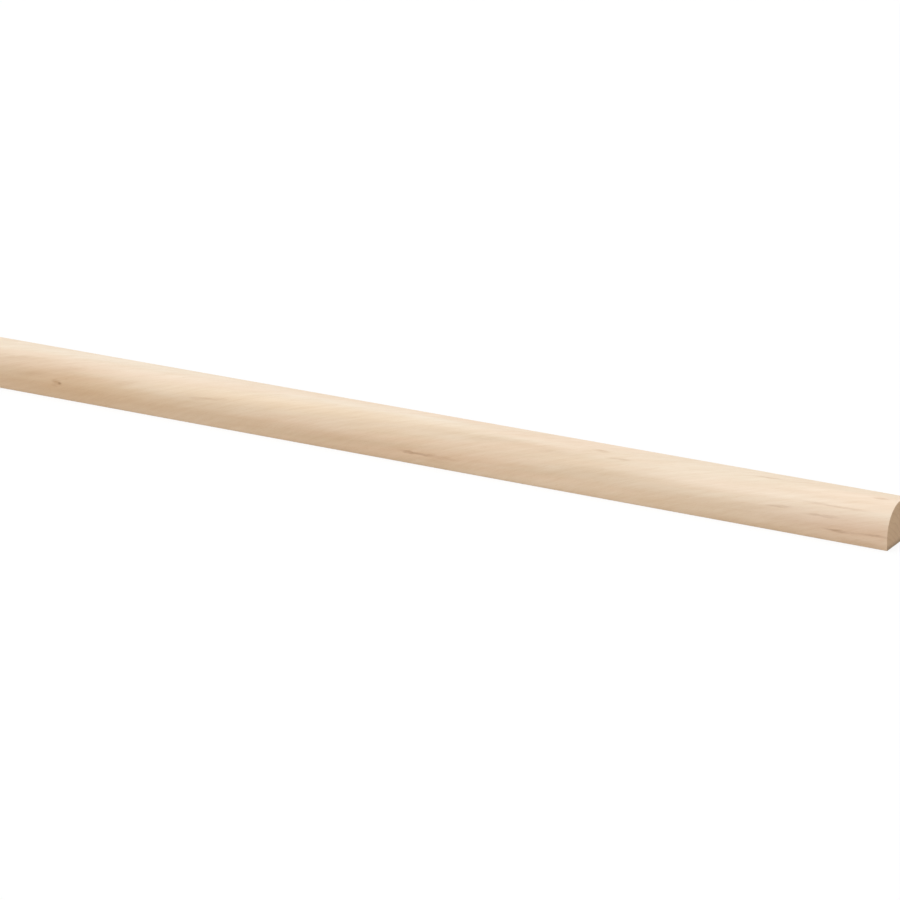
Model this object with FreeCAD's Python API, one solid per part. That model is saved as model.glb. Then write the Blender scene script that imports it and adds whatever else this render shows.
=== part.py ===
import FreeCAD, Part
import math
import os

# Quarter round moulding: one stick of solid hardwood, planed to a square section with one corner rounded over,
# and sawn square at both ends. It lies as it is fitted, with one flat on the floor and one flat to the wall.
# Frame in millimetres: +X along the stick, +Y to the wall, +Z up. The origin is on the floor, under the middle.

# Driving dimensions
stick_length = 2438.4  # eight feet, a usual stock length
floor_width = 19.05  # three quarters of an inch, from the front flat to the wall flat
wall_height = 19.05  # three quarters of an inch, from the floor flat to the top flat
round_radius = 12.7  # half an inch, on the corner that faces the room
arris_radius = 0.4  # the three plain corners are broken this much, so that they don't splinter


def corner_arc(corner, arriving, leaving, radius):
    """Returns the tangent arc that rounds one square corner, between its two directions of travel."""
    start = corner - arriving * radius
    end = corner + leaving * radius
    middle = corner + (leaving - arriving) * (radius * (1 - math.sqrt(0.5)))
    return Part.Arc(start, middle, end)


def section_face(x, width, height, radii):
    """Returns the upright section across the stick at x, as a face.

    It goes round from the front foot to the wall foot, the wall top and the front top. radii holds the radius of
    each of those corners, in that order. Two arcs that already meet have no flat between them.
    """
    to_wall = FreeCAD.Vector(0, 1, 0)
    up = FreeCAD.Vector(0, 0, 1)
    travel = [to_wall, up, -to_wall, -up]
    corners = [
        FreeCAD.Vector(x, -width / 2, 0),
        FreeCAD.Vector(x, width / 2, 0),
        FreeCAD.Vector(x, width / 2, height),
        FreeCAD.Vector(x, -width / 2, height),
    ]
    arcs = [corner_arc(corners[i], travel[i - 1], travel[i], radii[i]) for i in range(len(corners))]
    edges = []
    for arc, next_arc in zip(arcs, arcs[1:] + arcs[:1]):
        edges.append(arc.toShape())
        flat_start = arc.EndPoint
        flat_end = next_arc.StartPoint
        if flat_start.distanceToPoint(flat_end) > Part.Precision.confusion():
            edges.append(Part.LineSegment(flat_start, flat_end).toShape())
    return Part.Face(Part.Wire(edges))


def quarter_round():
    """Returns the stick: its section, run from one sawn end to the other."""
    widest_round = min(floor_width, wall_height) - arris_radius
    radii = [arris_radius, arris_radius, arris_radius, min(round_radius, widest_round)]
    section = section_face(-stick_length / 2, floor_width, wall_height, radii)
    return section.extrude(FreeCAD.Vector(stick_length, 0, 0))


os.makedirs("parts", exist_ok=True)
stick = quarter_round()
stick.exportStep("parts/quarter_round.step")
print("quarter_round", stick.isValid(), round(stick.Volume, 1), "mm3")
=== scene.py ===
"""Looks of a quarter round moulding: one stick of pale close-grained hardwood.

It is planed, rounded over on one corner and sawn square, with no finish on it. Everything is in metres, in
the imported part's frame: +X along the stick, +Y to the wall, +Z up.
"""
import logging
import math
from dataclasses import dataclass
from enum import Enum

import bmesh
import bpy
from mathutils import Matrix, Vector


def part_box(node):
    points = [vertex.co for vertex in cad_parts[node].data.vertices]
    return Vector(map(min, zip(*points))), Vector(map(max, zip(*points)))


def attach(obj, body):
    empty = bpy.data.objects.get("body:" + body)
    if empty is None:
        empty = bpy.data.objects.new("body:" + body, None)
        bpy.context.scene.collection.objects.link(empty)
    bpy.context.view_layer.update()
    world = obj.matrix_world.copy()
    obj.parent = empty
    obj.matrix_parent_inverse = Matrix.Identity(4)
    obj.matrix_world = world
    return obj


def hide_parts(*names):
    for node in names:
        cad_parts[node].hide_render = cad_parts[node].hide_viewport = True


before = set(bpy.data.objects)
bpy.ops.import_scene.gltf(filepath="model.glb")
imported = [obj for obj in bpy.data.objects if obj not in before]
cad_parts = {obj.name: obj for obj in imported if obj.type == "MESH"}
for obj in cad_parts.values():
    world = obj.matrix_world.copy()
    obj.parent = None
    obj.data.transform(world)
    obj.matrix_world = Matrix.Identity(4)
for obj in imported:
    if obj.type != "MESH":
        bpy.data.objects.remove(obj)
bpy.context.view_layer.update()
log = logging.getLogger("moulding")

Colour = tuple[float, float, float]
Scale = tuple[float, float, float]
Range = tuple[float, float]
Socket = bpy.types.NodeSocket
MeshWork = bmesh.types.BMesh
MeshPoint = bmesh.types.BMVert
MapLayer = bmesh.types.BMLayerItem

CAD_NODE = "quarter_round"
BODY = "root"
UNROLLED_MAP = "unrolled"
BAKE_MAP = "OFBake"
PLAIN_WHITE = (1.0, 1.0, 1.0)
NO_SHIFT = (0.0, 0.0, 0.0)
RIGHT_ANGLE = 90.0
MATRIX_SIZE = 4
WHOLE_TURN = 2 * math.pi
QUARTER_TURN = math.pi / 2
NOISE_MIDDLE = 0.5
BUMP_STRENGTH = 0.5
# The Mix node repeats its sockets' names for each type, so its colour sockets are taken by number.
MIX_FIRST = 6
MIX_SECOND = 7
MIX_RESULT = 2


class StickEnd(Enum):
    """The two sawn ends, by the way they face along the stick."""

    LEFT = -1
    RIGHT = 1


class WoodFace(Enum):
    """The two kinds of surface on the stick, by material index."""

    LONG_GRAIN = 0
    END_GRAIN = 1


class MarkKind(Enum):
    """The natural marks in the wood, and bands of painted shade along the front foot, each with the tint
    that it multiplies the wood by.
    """

    PIN_KNOT = (0.42, 0.31, 0.23)
    MINERAL_STREAK = (0.60, 0.48, 0.37)
    FLECK = (0.74, 0.63, 0.52)
    # Warm bands are partly the wood's own tone and partly painted shade, which darkens the long faces
    # towards the front foot.
    WARM_BAND_AND_FOOT_SHADE = (0.86, 0.80, 0.73)
    HONEY_BAND = (0.98, 0.91, 0.82)
    BLUSH_BAND = (1.0, 0.93, 0.96)
    PALE_BAND = (1.08, 1.10, 1.13)

    @property
    def is_band(self) -> bool:
        """Whether the mark is a broad soft change of tone, with no fibres standing out in it."""
        return self in (MarkKind.WARM_BAND_AND_FOOT_SHADE, MarkKind.HONEY_BAND, MarkKind.BLUSH_BAND, MarkKind.PALE_BAND)


@dataclass(frozen=True)
class GrainMark:
    """One mark on the long faces: a natural mark, or a band of painted shade along the front foot.

    Attributes:
        kind: What the mark is.
        from_end: Distance of its middle from the right-hand sawn end.
        girth: Distance of its middle round the section, up from the front foot.
        length: Its full length along the stick.
        width: Its full width round the section.
        strength: How much of its tint it takes, from 0 to 1.
        rise: How far it climbs round the section for each metre to the right.
    """

    kind: MarkKind
    from_end: float
    girth: float
    length: float
    width: float
    strength: float
    rise: float = 0.0


MARKS = (
    GrainMark(MarkKind.PIN_KNOT, 0.4376, 0.0080, 0.0026, 0.0015, 0.68),
    GrainMark(MarkKind.FLECK, 0.4393, 0.0083, 0.0072, 0.0030, 0.92, -0.15),
    GrainMark(MarkKind.FLECK, 0.4405, 0.0066, 0.0045, 0.0020, 0.34),
    # Painted shade: a broad warm band that darkens the front face towards its foot along the left of the
    # stick.
    GrainMark(MarkKind.WARM_BAND_AND_FOOT_SHADE, 0.489, 0.0022, 0.550, 0.0200, 0.75, 0.02),
    GrainMark(MarkKind.WARM_BAND_AND_FOOT_SHADE, 0.450, 0.0125, 0.150, 0.0200, 0.64, 0.06),
    GrainMark(MarkKind.HONEY_BAND, 0.425, 0.0085, 0.150, 0.0220, 0.80, 0.04),
    GrainMark(MarkKind.HONEY_BAND, 0.320, 0.0172, 0.270, 0.0120, 0.80, 0.04),
    GrainMark(MarkKind.HONEY_BAND, 0.251, 0.0130, 0.070, 0.0100, 0.45, 0.02),
    GrainMark(MarkKind.HONEY_BAND, 0.150, 0.0148, 0.060, 0.0090, 0.36, 0.02),
    GrainMark(MarkKind.HONEY_BAND, 0.006, 0.0075, 0.060, 0.0130, 0.30),
    GrainMark(MarkKind.BLUSH_BAND, 0.014, 0.0075, 0.120, 0.0190, 0.62),
    GrainMark(MarkKind.WARM_BAND_AND_FOOT_SHADE, 0.140, 0.0125, 0.070, 0.0080, 0.32, 0.10),
    # Painted shade: three thin warm bands that darken the front face at its foot, standing in for the
    # shadow where it meets the floor.
    GrainMark(MarkKind.WARM_BAND_AND_FOOT_SHADE, 0.275, 0.0008, 0.140, 0.0060, 0.42),
    GrainMark(MarkKind.WARM_BAND_AND_FOOT_SHADE, 0.045, 0.0008, 0.150, 0.0060, 0.55),
    GrainMark(MarkKind.WARM_BAND_AND_FOOT_SHADE, 0.012, 0.0012, 0.050, 0.0050, 0.85),
    GrainMark(MarkKind.WARM_BAND_AND_FOOT_SHADE, 0.205, 0.0179, 0.215, 0.0110, 0.42, 0.03),
    GrainMark(MarkKind.PALE_BAND, 0.067, 0.0135, 0.196, 0.0150, 0.90, 0.02),
    GrainMark(MarkKind.PALE_BAND, 0.205, 0.0095, 0.150, 0.0170, 0.80, 0.02),
    GrainMark(MarkKind.PALE_BAND, 0.335, 0.0088, 0.190, 0.0090, 0.60, 0.02),
    GrainMark(MarkKind.PALE_BAND, 0.138, 0.0060, 0.170, 0.0115, 0.82, 0.02),
    GrainMark(MarkKind.PALE_BAND, 0.030, 0.0228, 0.100, 0.0120, 0.48),
    GrainMark(MarkKind.FLECK, 0.4656, 0.0168, 0.026, 0.0040, 0.24, 0.19),
    GrainMark(MarkKind.FLECK, 0.4535, 0.0104, 0.030, 0.0038, 0.22, 0.13),
    GrainMark(MarkKind.FLECK, 0.4336, 0.0157, 0.024, 0.0040, 0.26, 0.19),
    GrainMark(MarkKind.FLECK, 0.3988, 0.0139, 0.024, 0.0040, 0.20, 0.24),
    GrainMark(MarkKind.FLECK, 0.3530, 0.0133, 0.030, 0.0022, 0.48, 0.10),
    GrainMark(MarkKind.MINERAL_STREAK, 0.2372, 0.0055, 0.019, 0.0015, 0.84),
    GrainMark(MarkKind.MINERAL_STREAK, 0.2418, 0.0054, 0.006, 0.0018, 0.72),
    GrainMark(MarkKind.FLECK, 0.2250, 0.0056, 0.028, 0.0026, 0.62),
    GrainMark(MarkKind.WARM_BAND_AND_FOOT_SHADE, 0.2275, 0.0035, 0.024, 0.0030, 0.50, 0.04),
    GrainMark(MarkKind.FLECK, 0.1963, 0.0190, 0.047, 0.0036, 0.28, 0.13),
    GrainMark(MarkKind.FLECK, 0.1673, 0.0177, 0.020, 0.0026, 0.26, 0.10),
    GrainMark(MarkKind.WARM_BAND_AND_FOOT_SHADE, 0.1526, 0.0218, 0.016, 0.0070, 0.30, 0.50),
    GrainMark(MarkKind.FLECK, 0.1447, 0.0235, 0.010, 0.0026, 0.72),
    GrainMark(MarkKind.FLECK, 0.1340, 0.0201, 0.015, 0.0019, 0.60, 0.068),
    GrainMark(MarkKind.FLECK, 0.0626, 0.0261, 0.020, 0.0020, 0.74, 0.10),
    GrainMark(MarkKind.MINERAL_STREAK, 0.0525, 0.0114, 0.018, 0.0016, 0.50, 0.117),
    GrainMark(MarkKind.WARM_BAND_AND_FOOT_SHADE, 0.0665, 0.0091, 0.024, 0.0032, 0.32, 0.08),
    GrainMark(MarkKind.MINERAL_STREAK, 0.0262, 0.0158, 0.040, 0.0016, 0.38, 0.01),
    GrainMark(MarkKind.MINERAL_STREAK, 0.0314, 0.0107, 0.020, 0.0016, 0.50, 0.04),
    GrainMark(MarkKind.MINERAL_STREAK, 0.0240, 0.0052, 0.015, 0.0017, 0.76),
    GrainMark(MarkKind.MINERAL_STREAK, 0.0155, 0.0055, 0.014, 0.0015, 0.20, 0.03),
    GrainMark(MarkKind.MINERAL_STREAK, 0.0064, 0.0060, 0.022, 0.0015, 0.56, 0.04),
    GrainMark(MarkKind.FLECK, 0.0086, 0.0250, 0.009, 0.0026, 0.85, 0.10),
    GrainMark(MarkKind.PIN_KNOT, 1.5230, 0.0190, 0.0040, 0.0024, 0.80),
)


def marks_of(kind: MarkKind) -> list[GrainMark]:
    """Picks out the marks of one kind."""
    return [mark for mark in MARKS if mark.kind is kind]


class NodeBench:
    """Adds, sets and joins the nodes of one material or world."""

    def __init__(self, tree: bpy.types.NodeTree) -> None:
        """Takes the node tree of a material or a world and empties it."""
        self.tree = tree
        self.tree.nodes.clear()

    def add(self, kind: str, **settings: object) -> bpy.types.Node:
        """Adds one node.

        Args:
            kind: The node's type, without its ShaderNode prefix.
            **settings: Properties to set on it.

        Returns:
            The new node.
        """
        node = self.tree.nodes.new("ShaderNode" + kind)
        for name, value in settings.items():
            setattr(node, name, value)
        return node

    def feed(self, socket: Socket, value: object) -> None:
        """Links a socket into another, or sets its own value.

        Args:
            socket: The input to feed.
            value: An output socket, or a plain value.
        """
        if isinstance(value, bpy.types.NodeSocket):
            self.tree.links.new(value, socket)
        else:
            socket.default_value = value

    def math(self, operation: str, first: object, second: object = 0.0, clamp: bool = False) -> Socket:
        """Adds one step of arithmetic.

        Args:
            operation: The name of the operation, such as ADD.
            first: Its first number.
            second: Its second number.
            clamp: Whether the result is kept between 0 and 1.

        Returns:
            The result.
        """
        node = self.add("Math", operation=operation, use_clamp=clamp)
        self.feed(node.inputs[0], first)
        self.feed(node.inputs[1], second)
        return node.outputs[0]

    def add_share(self, total: object, part: object, share: float) -> Socket:
        """Adds a share of one number to a total."""
        return self.math("ADD", total, self.math("MULTIPLY", part, share))

    def vector(self, x: object, y: object, z: object = 0.0) -> Socket:
        """Puts three numbers together as one vector.

        Args:
            x: The first number.
            y: The second number.
            z: The third number.

        Returns:
            The vector.
        """
        node = self.add("CombineXYZ")
        for socket, value in zip(node.inputs, (x, y, z)):
            self.feed(socket, value)
        return node.outputs[0]

    def vector_math(self, operation: str, first: Socket, second: object = NO_SHIFT) -> Socket:
        """Adds one step of arithmetic on vectors.

        Args:
            operation: The name of the operation, such as MULTIPLY.
            first: Its first vector.
            second: Its second vector.

        Returns:
            The result, which is a number for a length or a distance, and otherwise a vector.
        """
        node = self.add("VectorMath", operation=operation)
        self.feed(node.inputs[0], first)
        self.feed(node.inputs[1], second)
        return node.outputs["Value" if operation in ("LENGTH", "DISTANCE") else "Vector"]

    def object_axes(self) -> tuple[Socket, Socket, Socket]:
        """Reads a point's place on the stick.

        Returns:
            Its distances along the stick, to the wall and up.
        """
        axes = self.add("SeparateXYZ")
        self.feed(axes.inputs[0], self.add("TexCoord").outputs["Object"])
        return tuple(axes.outputs)

    def span(self, value: object, low: float, high: float, to_low: float = 0.0,
             to_high: float = 1.0) -> Socket:
        """Eases a number from one range to another, held at both ends.

        Args:
            value: The number.
            low: The start of its range.
            high: The end of its range.
            to_low: What low becomes.
            to_high: What high becomes.

        Returns:
            The eased number.
        """
        node = self.add("MapRange", interpolation_type="SMOOTHSTEP")
        for socket, given in zip(node.inputs, (value, low, high, to_low, to_high)):
            self.feed(socket, given)
        return node.outputs[0]

    def noise(self, place: Socket, detail: float, roughness: float = 0.5) -> Socket:
        """Adds soft noise of one unit's size.

        Args:
            place: Where it is read, already in the noise's own units.
            detail: How many finer layers it has.
            roughness: How strong those layers are.

        Returns:
            The noise, about 0.5.
        """
        node = self.add("TexNoise")
        self.feed(node.inputs["Vector"], place)
        self.feed(node.inputs["Scale"], 1.0)
        self.feed(node.inputs["Detail"], detail)
        self.feed(node.inputs["Roughness"], roughness)
        return node.outputs[0]

    def noise_shift(self, noise: Socket, reach: float) -> Socket:
        """Turns noise about 0.5 into a shift about 0, over a reach from side to side."""
        return self.math("MULTIPLY", self.math("SUBTRACT", noise, NOISE_MIDDLE), reach)

    def blend(self, share: object, first: object, second: object, blend_type: str = "MIX") -> Socket:
        """Blends two colours.

        Args:
            share: How much of the second colour is used.
            first: The first colour.
            second: The second colour.
            blend_type: How they are blended.

        Returns:
            The blended colour.
        """
        node = self.add("Mix", data_type="RGBA", blend_type=blend_type)
        self.feed(node.inputs["Factor"], share)
        for number, colour in ((MIX_FIRST, first), (MIX_SECOND, second)):
            self.feed(node.inputs[number], (*colour, 1.0) if isinstance(colour, tuple) else colour)
        return node.outputs[MIX_RESULT]

    def wood_surface(self, colour: Socket, roughness: Socket, height: Socket, relief: float) -> None:
        """Ends a wood material with its shader.

        Args:
            colour: The wood's colour.
            roughness: Its roughness.
            height: The height of its fine relief, from about 0 to 1.
            relief: How deep that relief is.
        """
        bump = self.add("Bump")
        self.feed(bump.inputs["Strength"], BUMP_STRENGTH)
        self.feed(bump.inputs["Distance"], relief)
        self.feed(bump.inputs["Height"], height)
        shader = self.add("BsdfPrincipled")
        self.feed(shader.inputs["Base Color"], colour)
        self.feed(shader.inputs["Roughness"], roughness)
        self.feed(shader.inputs["Normal"], bump.outputs[0])
        self.feed(self.add("OutputMaterial").inputs["Surface"], shader.outputs[0])


def start_material(name: str) -> tuple[bpy.types.Material, NodeBench]:
    """Starts a material.

    Args:
        name: Its name.

    Returns:
        The material, and the bench that its nodes are made on.
    """
    made = bpy.data.materials.new(name)
    made.use_nodes = True
    return made, NodeBench(made.node_tree)


@dataclass(frozen=True)
class GrainPlace:
    """Where a point lies in the grain.

    Attributes:
        along: Its distance along the stick.
        level: Its distance across the rings, as they lie at the right-hand end.
        through: Its distance along the rings in the section.
        climb: How far the rings still climb from there to the right-hand end.
    """

    along: Socket
    level: Socket
    through: Socket
    climb: Socket

    def across(self, bench: NodeBench, climbs: float = 1.0) -> Socket:
        """Works out the distance across the rings, or across fibres that climb so many times as fast."""
        return bench.add_share(self.level, self.climb, climbs)


@dataclass(frozen=True)
class Timber:
    """How the growth rings and fibres lie in the stick, the same for its long faces and its ends.

    Attributes:
        right_end: Where the right-hand sawn end is, along the stick.
        ring_width: The usual width of a growth ring.
        ring_lean: Angle of the rings' normal in the section, up from the wall's direction, in degrees.
        ring_bow: Radius that the rings curve to in the section.
        mean_rise: How far the rings climb for each metre to the right.
        rise_swing: How far that climb swings about its mean.
        swing_length: The length along the stick of one swing.
        swing_lead: How far past the right-hand end the climb is at its least.
        wander_scale: How many times a metre the rings wander, along the stick, across them and along them.
        wander_detail: How many finer layers that wander has.
        wander_rings: How many rings' width the wander takes them.
        late_edge: The power that a ring darkens by towards its late edge.
    """

    right_end: float
    ring_width: float = 0.0027
    ring_lean: float = 45.0
    ring_bow: float = 0.085
    mean_rise: float = 0.063
    rise_swing: float = 0.012
    swing_length: float = 0.8
    swing_lead: float = 0.12
    wander_scale: Scale = (4.0, 130.0, 60.0)
    wander_detail: float = 2.0
    wander_rings: float = 2.4
    late_edge: float = 5.0

    def place(self, bench: NodeBench) -> GrainPlace:
        """Works out where a point lies in the grain.

        Args:
            bench: The material's nodes.

        Returns:
            The point's place.
        """
        along, depth, height = bench.object_axes()
        lean = math.radians(self.ring_lean)
        through = bench.math("SUBTRACT", bench.math("MULTIPLY", height, math.cos(lean)),
                             bench.math("MULTIPLY", depth, math.sin(lean)))
        flat = bench.add_share(bench.math("MULTIPLY", depth, math.cos(lean)), height, math.sin(lean))
        bow = bench.math("MULTIPLY", bench.math("MULTIPLY", through, through), 1 / (2 * self.ring_bow))
        from_end = bench.math("SUBTRACT", self.right_end, along)
        turn = WHOLE_TURN / self.swing_length
        phase = bench.math("MULTIPLY", bench.math("ADD", from_end, self.swing_lead), turn)
        swing = bench.math("MULTIPLY", bench.math("SINE", phase), -self.rise_swing / turn)
        climb = bench.math("ADD", bench.math("MULTIPLY", from_end, self.mean_rise), swing)
        return GrainPlace(along, bench.math("ADD", flat, bow), through, climb)

    def rings(self, bench: NodeBench, place: GrainPlace) -> Socket:
        """Draws the growth rings, each darkening slowly to a thin late edge.

        Args:
            bench: The material's nodes.
            place: Where the point lies in the grain.

        Returns:
            The rings, from 0 in early wood to 1 at a late edge.
        """
        across = place.across(bench)
        spot = bench.vector(place.along, across, place.through)
        wander = bench.noise(bench.vector_math("MULTIPLY", spot, self.wander_scale), self.wander_detail)
        count = bench.add_share(bench.math("DIVIDE", across, self.ring_width), wander, self.wander_rings)
        return bench.math("POWER", bench.math("FRACT", count), self.late_edge)


@dataclass(frozen=True)
class Streaks:
    """One layer of streaks that are drawn out along the grain.

    Attributes:
        length: The usual length of one streak.
        thickness: Its thickness across the rings.
        breadth: Its breadth along the rings.
        detail: How many finer layers it has.
        climbs: How many times the rings' climb it follows.
        swing: How far it takes the wood from its paler to its darker colour.
        finer_share: How strong the finer layers are.
    """

    length: float
    thickness: float
    breadth: float
    detail: float
    climbs: float
    swing: float = 0.0
    finer_share: float = 0.55

    def draw(self, bench: NodeBench, place: GrainPlace) -> Socket:
        """Draws the streaks.

        Args:
            bench: The material's nodes.
            place: Where the point lies in the grain.

        Returns:
            The streaks, about 0.5.
        """
        scaled = bench.vector(bench.math("DIVIDE", place.along, self.length),
                              bench.math("DIVIDE", place.across(bench, self.climbs), self.thickness),
                              bench.math("DIVIDE", place.through, self.breadth))
        return bench.noise(scaled, self.detail, self.finer_share)

    def shift(self, bench: NodeBench, drawn: Socket) -> Socket:
        """Works out how far the layer, as drawn, moves the wood's tone to either side."""
        return bench.noise_shift(drawn, self.swing)


@dataclass(frozen=True)
class Marking:
    """How the natural marks, and the bands of painted shade along the front foot, are drawn on the long
    faces.

    Attributes:
        wobble_scale: How many times a metre a mark's edge wobbles, along the stick and round it.
        wobble_detail: How many finer layers that wobble has.
        wobble_reach: How far the edge wobbles, from side to side.
        fibre_scale: How many times a metre the fibres in a mark change, along the stick and round it.
        fibre_detail: How many finer layers that change has.
        fibre_span: Where in their noise the fibres begin to darken, and where they are darkest.
        fibre_least: How much of the mark's tint the palest fibres take.
        rim: Where a mark begins, in halves of its size from its middle.
        core: Where it is at full strength, in the same measure.
    """

    wobble_scale: Scale = (180.0, 900.0, 0.0)
    wobble_detail: float = 3.0
    wobble_reach: float = 0.0016
    fibre_scale: Scale = (140.0, 2400.0, 0.0)
    fibre_detail: float = 2.0
    fibre_span: Range = (0.30, 0.62)
    fibre_least: float = 0.45
    rim: float = 1.15
    core: float = 0.05

    def shade(self, bench: NodeBench, surface: Socket, mark: GrainMark, right_end: float) -> Socket:
        """Draws one mark as a soft ellipse.

        Args:
            bench: The material's nodes.
            surface: The point's place along the stick and round it.
            mark: The mark.
            right_end: Where the right-hand sawn end is, along the stick.

        Returns:
            How much of its tint the mark takes there, from 0 to its strength.
        """
        ellipse = bench.add("Mapping", vector_type="TEXTURE")
        bench.feed(ellipse.inputs["Vector"], surface)
        bench.feed(ellipse.inputs["Location"], (right_end - mark.from_end, mark.girth, 0.0))
        bench.feed(ellipse.inputs["Rotation"], (0.0, 0.0, math.atan(mark.rise)))
        bench.feed(ellipse.inputs["Scale"], (mark.length / 2, mark.width / 2, 1.0))
        reach = bench.vector_math("LENGTH", ellipse.outputs[0])
        return bench.span(reach, self.rim, self.core, 0.0, mark.strength)

    def lay(self, bench: NodeBench, wood: Socket, right_end: float) -> Socket:
        """Lays the knots, streaks, flecks and bands over the wood, with the bands of painted shade along
        the front foot among them.

        Args:
            bench: The material's nodes.
            wood: The wood's colour without them.
            right_end: Where the right-hand sawn end is, along the stick.

        Returns:
            The colour with them.
        """
        surface = bench.add("UVMap", uv_map=UNROLLED_MAP).outputs[0]
        uneven = bench.noise(bench.vector_math("MULTIPLY", surface, self.wobble_scale), self.wobble_detail)
        wobble = bench.vector(0.0, bench.noise_shift(uneven, self.wobble_reach))
        ragged = bench.vector_math("ADD", surface, wobble)
        fibres = bench.noise(bench.vector_math("MULTIPLY", surface, self.fibre_scale), self.fibre_detail)
        broken = bench.span(fibres, *self.fibre_span, self.fibre_least, 1.0)
        for kind in MarkKind:
            cover: object = 0.0
            for mark in marks_of(kind):
                cover = bench.math("MAXIMUM", self.shade(bench, ragged, mark, right_end), cover)
            if not kind.is_band:
                cover = bench.math("MULTIPLY", cover, broken)
            wood = bench.blend(cover, wood, kind.value, "MULTIPLY")
        return wood


@dataclass(frozen=True)
class LongGrain:
    """The planed and sanded long faces, with no finish on them.

    Attributes:
        timber: How the grain lies.
        marking: How the natural marks are drawn.
        cream: The colour of the paler wood.
        biscuit: The colour of the darker wood.
        blush: The tint that the pinker stretches are multiplied by.
        mean_tone: Where the wood usually lies from cream, at 0, to biscuit, at 1.
        broad: The broad slow changes of tone.
        bands: The soft bands that run along the faces.
        strands: The narrower streaks that cross them aslant.
        fine: The fine fibres.
        pores: The short open pores.
        pink: The pinker stretches.
        ring_swing: How far a ring's late edge takes the wood towards biscuit.
        pore_span: Where in their noise the pores begin, and where they are darkest.
        pink_span: Where in their noise the pinker stretches begin, and where they are pinkest.
        fibre_height: How much of the relief the fibres make.
        pore_height: How much of the relief the pores make.
        roughness: The roughness of the smoothest and the roughest fibres.
        rough_span: Where in their noise the fibres are smoothest, and where they are roughest.
        relief: How deep the raised fibres are.
    """

    timber: Timber
    marking: Marking = Marking()
    cream: Colour = (0.879, 0.751, 0.600)
    biscuit: Colour = (0.754, 0.591, 0.415)
    blush: Colour = (1.0, 0.952, 0.93)
    mean_tone: float = 0.40
    broad: Streaks = Streaks(0.30, 0.0100, 0.024, detail=0.0, climbs=0.3, swing=0.75)
    bands: Streaks = Streaks(0.060, 0.0034, 0.012, detail=0.0, climbs=0.4, swing=0.55)
    strands: Streaks = Streaks(0.026, 0.0014, 0.005, detail=0.0, climbs=4.0, swing=0.44)
    fine: Streaks = Streaks(0.014, 0.0006, 0.0020, detail=3.0, climbs=5.5, swing=0.58)
    pores: Streaks = Streaks(0.0045, 0.00020, 0.0006, detail=1.0, climbs=5.5, swing=0.42)
    pink: Streaks = Streaks(0.16, 0.011, 0.014, detail=2.0, climbs=1.0)
    ring_swing: float = 0.10
    pore_span: Range = (0.60, 0.78)
    pink_span: Range = (0.42, 0.66)
    fibre_height: float = 0.7
    pore_height: float = 0.3
    roughness: Range = (0.44, 0.58)
    rough_span: Range = (0.25, 0.75)
    relief: float = 0.00004

    def material(self) -> bpy.types.Material:
        """Makes the material.

        Returns:
            The long-grain material.
        """
        made, bench = start_material("pale_hardwood_long_grain")
        place = self.timber.place(bench)
        fine = self.fine.draw(bench, place)
        pores = self.pores.draw(bench, place)
        tone = self.fine.shift(bench, fine)
        for layer in (self.broad, self.bands, self.strands):
            tone = bench.math("ADD", tone, layer.shift(bench, layer.draw(bench, place)))
        tone = bench.add_share(tone, self.timber.rings(bench, place), self.ring_swing)
        tone = bench.add_share(tone, bench.span(pores, *self.pore_span), self.pores.swing)
        wood = bench.blend(bench.math("ADD", tone, self.mean_tone, clamp=True), self.cream, self.biscuit)
        pink = bench.span(self.pink.draw(bench, place), *self.pink_span)
        wood = bench.blend(pink, wood, self.blush, "MULTIPLY")
        wood = self.marking.lay(bench, wood, self.timber.right_end)
        height = bench.add_share(bench.math("MULTIPLY", fine, self.fibre_height), pores, self.pore_height)
        roughness = bench.span(fine, *self.rough_span, *self.roughness)
        bench.wood_surface(wood, roughness, height, self.relief)
        return made


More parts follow.
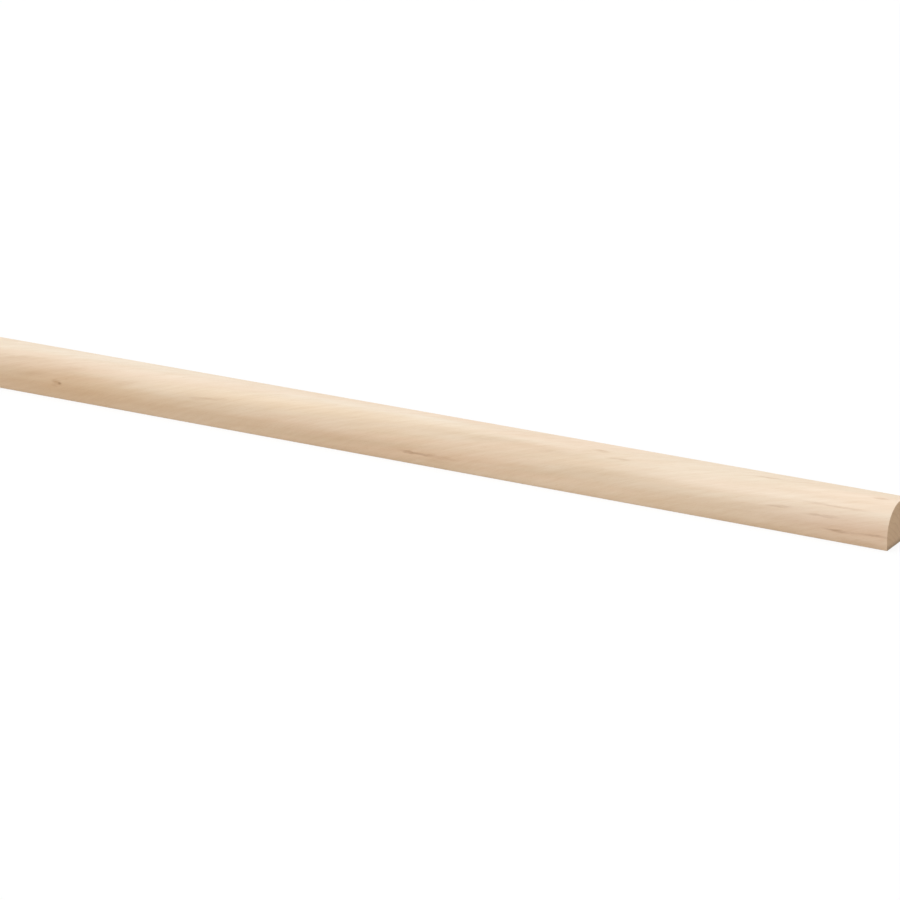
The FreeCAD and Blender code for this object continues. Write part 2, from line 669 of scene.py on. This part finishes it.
@dataclass(frozen=True)
class EndGrain:
    """The sawn ends, where the open fibres drink in light.

    Attributes:
        timber: How the grain lies.
        tan: The colour of the paler end grain.
        brown: The colour of the ring edges and open vessels.
        ray_scale: How many times a metre the rays change, across the rings and along them.
        ray_detail: How many finer layers the rays have.
        vessel_scale: How many vessels there are to a metre, across the rings and along them.
        vessel_detail: How many finer layers the vessels have.
        cloud_scale: How many times a metre the end's tone changes slowly, across the rings and along them.
        cloud_detail: How many finer layers that change has.
        ring_swing: How far a ring's late edge takes the wood towards brown.
        ray_swing: How far the rays take it.
        vessel_swing: How far the vessels take it.
        cloud_swing: How far the slow changes take it, from side to side.
        vessel_span: Where in their noise the vessels begin, and where they are darkest.
        roughness: The roughness of the smoothest and the roughest end grain.
        rough_span: Where in the vessels' noise it is smoothest, and where it is roughest.
        saw_reach: Radius of the arcs that the saw blade leaves.
        saw_side: How far the blade's hub lies to the wall's side, in those radii.
        saw_drop: How far the hub lies below the floor, in those radii.
        saw_pitch: Distance from one saw mark to the next.
        saw_height: How much of the relief the saw marks make.
        foot_shade_tint: The grey tint of the painted shade that darkens the foot of the end, where it meets
            the floor.
        foot_shade_height: How far that painted shade reaches up the end.
        foot_shade_strength: How much of its tint the painted shade takes at the foot.
        relief: How deep the saw marks are.
    """

    timber: Timber
    tan: Colour = (0.610, 0.465, 0.320)
    brown: Colour = (0.420, 0.290, 0.185)
    ray_scale: Scale = (260.0, 3200.0, 0.0)
    ray_detail: float = 2.0
    vessel_scale: Scale = (6000.0, 6000.0, 0.0)
    vessel_detail: float = 1.0
    cloud_scale: Scale = (170.0, 170.0, 0.0)
    cloud_detail: float = 3.0
    ring_swing: float = 0.34
    ray_swing: float = 0.30
    vessel_swing: float = 0.30
    cloud_swing: float = 0.5
    vessel_span: Range = (0.58, 0.74)
    roughness: Range = (0.75, 0.87)
    rough_span: Range = (0.3, 0.7)
    saw_reach: float = 0.127
    saw_side: float = 0.35
    saw_drop: float = 0.94
    saw_pitch: float = 0.0011
    saw_height: float = 0.35
    foot_shade_tint: Colour = (0.36, 0.38, 0.38)
    foot_shade_height: float = 0.0030
    foot_shade_strength: float = 0.52
    relief: float = 0.00005

    def material(self) -> bpy.types.Material:
        """Makes the material.

        Returns:
            The end-grain material.
        """
        made, bench = start_material("pale_hardwood_end_grain")
        place = self.timber.place(bench)
        spot = bench.vector(place.across(bench), place.through)
        rays = bench.noise(bench.vector_math("MULTIPLY", spot, self.ray_scale), self.ray_detail)
        vessels = bench.noise(bench.vector_math("MULTIPLY", spot, self.vessel_scale), self.vessel_detail)
        cloud = bench.noise(bench.vector_math("MULTIPLY", spot, self.cloud_scale), self.cloud_detail)
        tone = bench.math("MULTIPLY", self.timber.rings(bench, place), self.ring_swing)
        tone = bench.add_share(tone, rays, self.ray_swing)
        tone = bench.add_share(tone, bench.span(vessels, *self.vessel_span), self.vessel_swing)
        tone = bench.math("ADD", tone, bench.noise_shift(cloud, self.cloud_swing), clamp=True)
        wood = bench.blend(tone, self.tan, self.brown)
        _, depth, height = bench.object_axes()
        # Painted shade: a grey tint darkens the end towards its foot, standing in for the shadow where the
        # end meets the floor.
        foot_shaded = bench.span(height, self.foot_shade_height, 0.0, 0.0, self.foot_shade_strength)
        wood = bench.blend(foot_shaded, wood, self.foot_shade_tint, "MULTIPLY")
        hub = (self.saw_reach * self.saw_side, -self.saw_reach * self.saw_drop, 0.0)
        from_hub = bench.vector_math("DISTANCE", bench.vector(depth, height), hub)
        sweep = bench.math("SINE", bench.math("MULTIPLY", from_hub, WHOLE_TURN / self.saw_pitch))
        roughness = bench.span(vessels, *self.rough_span, *self.roughness)
        bench.wood_surface(wood, roughness, bench.add_share(vessels, sweep, self.saw_height), self.relief)
        return made


@dataclass(frozen=True)
class SectionPoint:
    """One point of the stick's outline.

    Attributes:
        y: Its place from the front to the wall.
        z: Its height.
        girth: Its distance round the section, up from the front foot.
    """

    y: float
    z: float
    girth: float


@dataclass(frozen=True)
class StickMaps:
    """The two maps of the stick's surface.

    Attributes:
        unrolled: The map of distance along and round the stick.
        bake: The bake map.
    """

    unrolled: MapLayer
    bake: MapLayer


@dataclass
class Moulding:
    """The stick: its sizes, its mesh and its dress.

    Attributes:
        low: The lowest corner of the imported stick.
        high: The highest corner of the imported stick.
        round_radius: Radius of the corner that faces the room.
        arris_radius: Radius of the three plain corners, broken so that they don't splinter.
        end_ease: How far the saw and the hand break the edge of each end.
        round_steps: Facets round the room's corner.
        arris_steps: Facets round a plain corner.
        flat_step: The longest facet across a flat.
        station_step: The longest facet along the stick.
        knot_step: The facet length over a pin knot.
        knot_sink: How far a pin knot sinks below the face.
        knot_fall: How steeply that hollow dies away from its middle.
        cap_rings: Rings of facets on a sawn end.
        sharp_angle: The least angle that an edge is shaded sharp at, in degrees.
        strips: How many lengths the surface is cut into for its bake map.
        cap_share: The height of the ends' row in the bake map.
        map_gap: The bare gap round each patch of the bake map.
    """

    low: Vector
    high: Vector
    round_radius: float = 0.0127
    arris_radius: float = 0.0004
    end_ease: float = 0.0002
    round_steps: int = 40
    arris_steps: int = 5
    flat_step: float = 0.0013
    station_step: float = 0.010
    knot_step: float = 0.0004
    knot_sink: float = 0.00012
    knot_fall: float = 4.0
    cap_rings: int = 8
    sharp_angle: float = 30.0
    strips: int = 4
    cap_share: float = 0.08
    map_gap: float = 0.004

    @property
    def length(self) -> float:
        """The stick's length."""
        return self.high.x - self.low.x

    def outline(self) -> list[SectionPoint]:
        """Goes once round the section, from the wall foot along the floor to the front, over and back down.

        Returns:
            The outline's points. The last lies on the first, one whole girth further on.
        """
        front, wall, foot, top = self.low.y, self.high.y, self.low.z, self.high.z
        arris, radius = self.arris_radius, self.round_radius
        turns = (
            ((front + arris, foot + arris), arris, -QUARTER_TURN, self.arris_steps),
            ((front + radius, top - radius), radius, -2 * QUARTER_TURN, self.round_steps),
            ((wall - arris, top - arris), arris, -3 * QUARTER_TURN, self.arris_steps),
            ((wall - arris, foot + arris), arris, -4 * QUARTER_TURN, self.arris_steps),
        )
        points = [SectionPoint(wall - arris, foot, 0.0)]
        front_foot = 0.0
        for (centre_y, centre_z), corner_radius, start_angle, steps in turns:
            start_y = centre_y + corner_radius * math.cos(start_angle)
            start_z = centre_z + corner_radius * math.sin(start_angle)
            last = points[-1]
            flat = math.hypot(start_y - last.y, start_z - last.z)
            flat_steps = math.ceil(flat / self.flat_step)
            for i in range(1, flat_steps + 1):
                share = i / flat_steps
                points.append(SectionPoint(last.y + (start_y - last.y) * share,
                                           last.z + (start_z - last.z) * share,
                                           last.girth + flat * share))
            girth = points[-1].girth
            for i in range(1, steps + 1):
                turn = QUARTER_TURN * i / steps
                points.append(SectionPoint(centre_y + corner_radius * math.cos(start_angle - turn),
                                           centre_z + corner_radius * math.sin(start_angle - turn),
                                           girth + corner_radius * turn))
            if start_angle == -QUARTER_TURN:
                front_foot = points[-1].girth - arris
        return [SectionPoint(p.y, p.z, p.girth - front_foot) for p in points]

    def stations(self) -> list[float]:
        """Chooses where the outline is repeated along the stick.

        Returns:
            Their places, from the left-hand end to the right-hand one.
        """
        steps = self.strips * math.ceil(self.length / self.strips / self.station_step)
        places = {self.low.x + self.length * i / steps for i in range(1, steps)}
        places |= {self.low.x + self.end_ease, self.high.x - self.end_ease}
        for knot in marks_of(MarkKind.PIN_KNOT):
            reach = math.ceil(knot.length / self.knot_step)
            middle = self.high.x - knot.from_end
            places |= {middle + self.knot_step * i for i in range(-reach, reach + 1)}
        return sorted(places)

    def sink(self, x: float, girth: float) -> float:
        """Works out how far a point of the surface is sunk by the pin knots.

        Args:
            x: The point's place along the stick.
            girth: Its place round the section.

        Returns:
            The depth below the plain face.
        """
        depth = 0.0
        for knot in marks_of(MarkKind.PIN_KNOT):
            along = (x - self.high.x + knot.from_end) / knot.length
            reach = math.hypot(along, (girth - knot.girth) / knot.width)
            depth += self.knot_sink * math.exp(-self.knot_fall * reach * reach)
        return depth

    def bake_place(self, x: float, girth_share: float, strip: int) -> tuple[float, float]:
        """Places a point of the long faces in the bake map, where the stick is cut into stacked strips.

        Args:
            x: The point's place along the stick.
            girth_share: Its place round the whole section, from 0 to 1.
            strip: The strip that its face is in.

        Returns:
            The place in the map.
        """
        strip_length = self.length / self.strips
        strip_height = (1 - self.cap_share) / self.strips
        along = (x - self.low.x) / strip_length - strip
        return (self.map_gap + along * (1 - 2 * self.map_gap),
                strip * strip_height + self.map_gap + girth_share * (strip_height - 2 * self.map_gap))

    def cap_place(self, y: float, z: float, end: StickEnd) -> tuple[float, float]:
        """Places a point of a sawn end in the bake map, above the strips.

        Args:
            y: The point's place from the front to the wall.
            z: Its height.
            end: Which end it is on.

        Returns:
            The place in the map.
        """
        side = self.cap_share - 2 * self.map_gap
        left = self.map_gap if end is StickEnd.LEFT else self.map_gap + self.cap_share
        return (left + side * (y - self.low.y) / (self.high.y - self.low.y),
                1 - self.cap_share + self.map_gap + side * (z - self.low.z) / (self.high.z - self.low.z))

    def build(self) -> bpy.types.Object:
        """Builds the stick's mesh, with its unrolled map and its bake map.

        Returns:
            The stick, in place.
        """
        outline = self.outline()
        mesh = bpy.data.meshes.new("quarter_round_stick")
        work = bmesh.new()
        maps = StickMaps(work.loops.layers.uv.new(UNROLLED_MAP), work.loops.layers.uv.new(BAKE_MAP))
        rows = self.long_faces(work, outline, self.stations(), maps)
        self.sawn_end(work, outline, rows[0], StickEnd.LEFT, maps)
        self.sawn_end(work, outline, rows[-1], StickEnd.RIGHT, maps)
        work.normal_update()
        work.to_mesh(mesh)
        work.free()
        mesh.set_sharp_from_angle(angle=math.radians(self.sharp_angle))
        stick = bpy.data.objects.new("quarter_round_stick", mesh)
        bpy.context.scene.collection.objects.link(stick)
        return stick

    def long_faces(self, work: MeshWork, outline: list[SectionPoint], stations: list[float],
                   maps: StickMaps) -> list[list[MeshPoint]]:
        """Runs the outline along the stick.

        Args:
            work: The mesh in the making.
            outline: The section's outline.
            stations: Where it is repeated.
            maps: The maps of the surface.

        Returns:
            The points at each station, round the section.
        """
        count = len(outline) - 1
        whole = outline[-1].girth - outline[0].girth
        rows = [[self.surface_point(work, outline, i, x) for i in range(count)] for x in stations]
        strip_length = self.length / self.strips
        for k in range(len(stations) - 1):
            left, right = stations[k], stations[k + 1]
            strip = int(((left + right) / 2 - self.low.x) / strip_length)
            for i in range(count):
                j = (i + 1) % count
                face = work.faces.new((rows[k][i], rows[k][j], rows[k + 1][j], rows[k + 1][i]))
                face.smooth = True
                face.material_index = WoodFace.LONG_GRAIN.value
                spots = ((left, i), (left, i + 1), (right, i + 1), (right, i))
                for loop, (x, n) in zip(face.loops, spots):
                    girth = outline[n].girth
                    loop[maps.unrolled].uv = (x, girth)
                    loop[maps.bake].uv = self.bake_place(x, (girth - outline[0].girth) / whole, strip)
        return rows

    def surface_point(self, work: MeshWork, outline: list[SectionPoint], i: int, x: float) -> MeshPoint:
        """Adds one point of the long faces, sunk where a pin knot is.

        Args:
            work: The mesh in the making.
            outline: The section's outline.
            i: Which point of the outline it is.
            x: Its place along the stick.

        Returns:
            The new point.
        """
        here = outline[i]
        before = outline[i - 1] if i else outline[-2]
        after = outline[i + 1]
        inward = Vector((0.0, after.z - before.z, before.y - after.y)).normalized()
        return work.verts.new(Vector((x, here.y, here.z)) + inward * self.sink(x, here.girth))

    def sawn_end(self, work: MeshWork, outline: list[SectionPoint], edge: list[MeshPoint], end: StickEnd,
                 maps: StickMaps) -> None:
        """Closes one end with rings of facets that shrink to its middle.

        Args:
            work: The mesh in the making.
            outline: The section's outline.
            edge: The last points of the long faces at that end.
            end: Which end it is.
            maps: The maps of the surface.
        """
        x = self.high.x if end is StickEnd.RIGHT else self.low.x
        core = Vector((x, (self.low.y + self.high.y) / 2, (self.low.z + self.high.z) / 2))
        eased = 1 - 2 * self.end_ease / (self.high.z - self.low.z)
        rows = [edge]
        for k in range(self.cap_rings):
            share = eased * (1 - k / self.cap_rings)
            rows.append([work.verts.new(core.lerp(Vector((x, p.y, p.z)), share)) for p in outline[:-1]])
        middle = work.verts.new(core)
        count = len(edge)
        for k in range(len(rows)):
            for i in range(count):
                j = (i + 1) % count
                if k + 1 < len(rows):
                    facet = [rows[k][i], rows[k + 1][i], rows[k + 1][j], rows[k][j]]
                else:
                    facet = [rows[k][i], middle, rows[k][j]]
                face = work.faces.new(facet if end is StickEnd.LEFT else facet[::-1])
                face.smooth = True
                face.material_index = WoodFace.END_GRAIN.value
                for loop in face.loops:
                    loop[maps.unrolled].uv = (x, 0.0)
                    loop[maps.bake].uv = self.cap_place(loop.vert.co.y, loop.vert.co.z, end)

    def dress(self, stick: bpy.types.Object) -> None:
        """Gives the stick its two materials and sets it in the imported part's place.

        Args:
            stick: The stick's object.
        """
        timber = Timber(self.high.x)
        stick.data.materials.append(LongGrain(timber).material())
        stick.data.materials.append(EndGrain(timber).material())
        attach(stick, BODY)
        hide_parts(CAD_NODE)


@dataclass(frozen=True)
class Studio:
    """A plain pale floor, white surroundings and one broad soft lamp overhead.

    Attributes:
        floor_reach: How far the floor goes from the middle of the stick, each way.
        floor_bounce: The warm white that the floor throws back onto the stick.
        floor_glow: How much of the floor is seen as plain white, and the rest as lit.
        ambient: The colour of the surroundings as they light the stick.
        lamp_colour: The colour of the lamp.
        lamp_strength: The strength of the lamp.
        lamp_spread: The lamp's breadth as seen from the stick, in degrees.
        lamp_height: The lamp's angle above the floor, in degrees.
        lamp_bearing: The lamp's angle to the right of square in front, in degrees.
    """

    floor_reach: float = 60.0
    floor_bounce: Colour = (0.68, 0.57, 0.45)
    floor_glow: float = 0.78
    ambient: Colour = (0.57, 0.51, 0.48)
    lamp_colour: Colour = (0.83, 0.94, 1.0)
    lamp_strength: float = 1.80
    lamp_spread: float = 90.0
    lamp_height: float = 81.0
    lamp_bearing: float = 10.0

    def seen(self, bench: NodeBench) -> Socket:
        """Tells the rays that show the surroundings from those that only light the stick.

        Args:
            bench: The material's or world's nodes.

        Returns:
            1 for a ray from the camera, a reflection or a clear piece, and otherwise 0.
        """
        path = bench.add("LightPath")
        shiny = bench.math("MAXIMUM", path.outputs["Is Glossy Ray"], path.outputs["Is Transmission Ray"])
        return bench.math("MAXIMUM", path.outputs["Is Camera Ray"], shiny)

    def lay_floor(self) -> bpy.types.Object:
        """Lays the floor.

        Returns:
            The floor.
        """
        mesh = bpy.data.meshes.new("pale_floor")
        work = bmesh.new()
        bmesh.ops.create_grid(work, x_segments=1, y_segments=1, size=self.floor_reach)
        work.to_mesh(mesh)
        work.free()
        floor = bpy.data.objects.new("pale_floor", mesh)
        bpy.context.scene.collection.objects.link(floor)
        made, bench = start_material("pale_floor")
        lit = bench.add("BsdfDiffuse")
        seen = self.seen(bench)
        bench.feed(lit.inputs["Color"], bench.blend(seen, self.floor_bounce, PLAIN_WHITE))
        white = bench.add("Emission")
        mixed = bench.add("MixShader")
        bench.feed(mixed.inputs[0], bench.math("MULTIPLY", seen, self.floor_glow))
        bench.feed(mixed.inputs[1], lit.outputs[0])
        bench.feed(mixed.inputs[2], white.outputs[0])
        bench.feed(bench.add("OutputMaterial").inputs["Surface"], mixed.outputs[0])
        mesh.materials.append(made)
        return floor

    def light(self) -> bpy.types.Object:
        """Sets the surroundings and the lamp.

        Returns:
            The lamp.
        """
        scene = bpy.context.scene
        scene.world = bpy.data.worlds.new("white_surroundings")
        scene.world.use_nodes = True
        bench = NodeBench(scene.world.node_tree)
        sky = bench.add("Background")
        bench.feed(sky.inputs["Color"], bench.blend(self.seen(bench), self.ambient, PLAIN_WHITE))
        bench.feed(bench.add("OutputWorld").inputs["Surface"], sky.outputs[0])
        bulb = bpy.data.lights.new("soft_lamp", "SUN")
        bulb.color = self.lamp_colour
        bulb.energy = self.lamp_strength
        bulb.angle = math.radians(self.lamp_spread)
        lamp = bpy.data.objects.new("soft_lamp", bulb)
        tilt = math.radians(RIGHT_ANGLE - self.lamp_height)
        lamp.rotation_euler = (tilt, 0.0, math.radians(self.lamp_bearing))
        scene.collection.objects.link(lamp)
        return lamp


def turned(angle: float, axis: str) -> Matrix:
    """Makes a turn about one axis, from an angle in degrees."""
    return Matrix.Rotation(math.radians(angle), MATRIX_SIZE, axis)


@dataclass(frozen=True)
class PhotoCamera:
    """The camera, placed from the foot of the right-hand end's front edge.

    Attributes:
        beyond_end: How far it stands past the end.
        in_front: How far it stands in front of the stick.
        height: How high it stands.
        bearing: Its turn towards the far end from square on, in degrees.
        dip: How far it looks down, in degrees.
        roll: Its roll, in degrees.
        lens: Its focal length in millimetres, on a sensor of the usual width.
        sight: How far it sees.
    """

    beyond_end: float = 0.6331
    in_front: float = 1.4272
    height: float = 0.5873
    bearing: float = 30.81
    dip: float = 19.155
    roll: float = -0.80
    lens: float = 154.25
    sight: float = 200.0

    def stand(self, foot: Vector) -> bpy.types.Object:
        """Sets the camera up.

        Args:
            foot: The foot of the right-hand end's front edge.

        Returns:
            The camera.
        """
        optics = bpy.data.cameras.new("photo_camera")
        optics.lens = self.lens
        optics.clip_end = self.sight
        camera = bpy.data.objects.new("photo_camera", optics)
        place = Matrix.Translation(foot + Vector((self.beyond_end, -self.in_front, self.height)))
        aim = turned(self.bearing, "Z") @ turned(RIGHT_ANGLE - self.dip, "X") @ turned(self.roll, "Z")
        camera.matrix_world = place @ aim
        bpy.context.scene.collection.objects.link(camera)
        bpy.context.scene.camera = camera
        return camera


def main() -> None:
    """Builds the stick, its floor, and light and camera."""
    logging.basicConfig(level=logging.INFO, format="%(name)s: %(message)s")
    bpy.context.scene.view_settings.view_transform = "Standard"
    moulding = Moulding(*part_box(CAD_NODE))
    stick = moulding.build()
    moulding.dress(stick)
    log.info("%s: %d faces", stick.name, len(stick.data.polygons))
    studio = Studio()
    log.info("%s laid", studio.lay_floor().name)
    log.info("%s set", studio.light().name)
    foot = Vector((moulding.high.x, moulding.low.y, moulding.low.z))
    log.info("%s stands", PhotoCamera().stand(foot).name)


if __name__ == "__main__":
    main()
